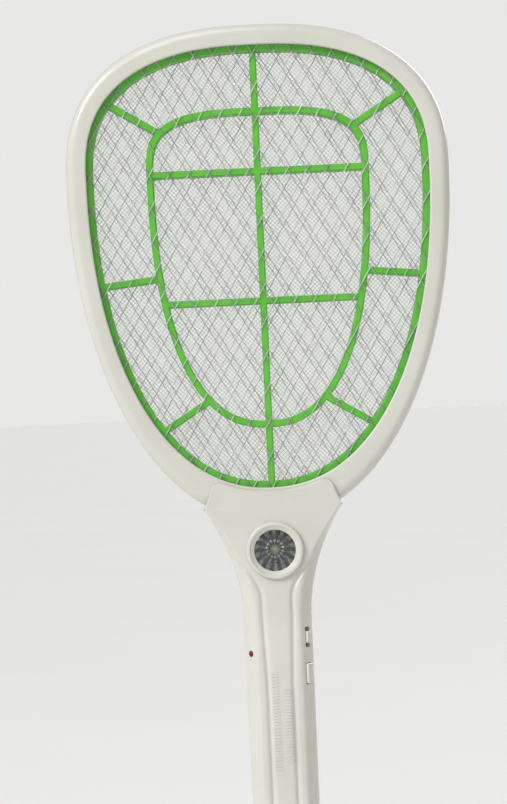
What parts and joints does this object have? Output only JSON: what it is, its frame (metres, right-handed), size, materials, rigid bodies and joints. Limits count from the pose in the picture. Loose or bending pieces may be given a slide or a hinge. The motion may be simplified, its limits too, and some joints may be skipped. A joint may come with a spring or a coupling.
{
  "type": "electric fly swatter",
  "caption": "Handheld electric fly swatter: egg-shaped frame round stacked wire nets, on a slim handle with a lamp, slide switch, push button and retractable flat-pin plug.",
  "frame": {"origin": "middle of the hand grip, on the handle's axis, in the parting plane of the two shell halves", "axes": "+Z from the tail of the handle to the top of the head, -Y out of the front face with the lamp, +X to the side with the switch and the button"},
  "size_m": [0.2116, 0.0292, 0.488],
  "materials": {
    "ivory_abs": "gloss",
    "green_pp": "satin",
    "net_wire": "satin",
    "chrome_reflector": "polished",
    "clear_lens": "polished",
    "red_lens": "polished",
    "led_epoxy": "polished",
    "circuit_board": "satin",
    "black_nylon": "matte",
    "ferrite": "matte",
    "winding_tape": "satin",
    "film_capacitor": "satin",
    "capacitor_can": "satin",
    "resistor_body": "satin",
    "battery_case": "satin",
    "screw_steel": "satin",
    "nickel_plated_brass": "polished",
    "red_insulation": "satin",
    "black_insulation": "satin",
    "blue_insulation": "satin"
  },
  "bodies": {
    "housing": {"battery_block": "battery_case", "battery_lead_negative": "black_insulation", "battery_lead_positive": "red_insulation", "charge_indicator": "red_lens", "charging_capacitor": "film_capacitor", "front_handle_shell": "ivory_abs", "front_net": "net_wire", "front_ring": "ivory_abs", "front_spacer_grid": "green_pp", "handle_screw_1": "screw_steel", "handle_screw_2": "screw_steel", "handle_screw_3": "screw_steel", "handle_screw_4": "screw_steel", "high_voltage_capacitor": "film_capacitor", "lamp_bezel": "ivory_abs", "lamp_board": "circuit_board", "lamp_lead_negative": "blue_insulation", "lamp_lead_positive": "red_insulation", "lamp_led": "led_epoxy", "lamp_lens": "clear_lens", "lamp_reflector": "chrome_reflector", "main_circuit_board": "circuit_board", "mains_contact_left": "nickel_plated_brass", "mains_contact_right": "nickel_plated_brass", "middle_net": "net_wire", "mode_switch_body": "screw_steel", "net_lead_front": "black_insulation", "net_lead_middle": "red_insulation", "net_lead_rear": "black_insulation", "push_switch_body": "black_nylon", "rear_handle_shell": "ivory_abs", "rear_net": "net_wire", "rear_ring": "ivory_abs", "rear_spacer_grid": "green_pp", "rectifier_diode_1": "black_nylon", "rectifier_diode_2": "black_nylon", "rectifier_diode_3": "black_nylon", "rectifier_diode_4": "black_nylon", "resistor_1": "resistor_body", "resistor_2": "resistor_body", "smoothing_capacitor": "capacitor_can", "switch_board": "circuit_board", "transformer_core": "ferrite", "transformer_winding": "winding_tape"},
    "swat_button": {"swat_button": "ivory_abs", "push_switch_plunger": "black_nylon"},
    "mode_knob": {"mode_knob": "ivory_abs", "mode_switch_lever": "screw_steel"},
    "plug": {"plug_carriage": "black_nylon", "plug_pin_left": "nickel_plated_brass", "plug_pin_right": "nickel_plated_brass", "plug_slider": "ivory_abs"}
  },
  "joints": [
    {"name": "swat_button_press", "type": "slide", "parent": "housing", "child": "swat_button", "axis": [-0.7854, 0.6189, 0], "range_m": [0, 0.0012], "stiffness_N_per_m": 1000, "springref_m": -0.001},
    {"name": "mode_knob_slide", "type": "slide", "parent": "housing", "child": "mode_knob", "axis": [0, 0, 1], "range_m": [-0.002, 0.002]},
    {"name": "plug_slide", "type": "slide", "parent": "housing", "child": "plug", "axis": [0, 0, -1], "range_m": [0, 0.019]}
  ]
}
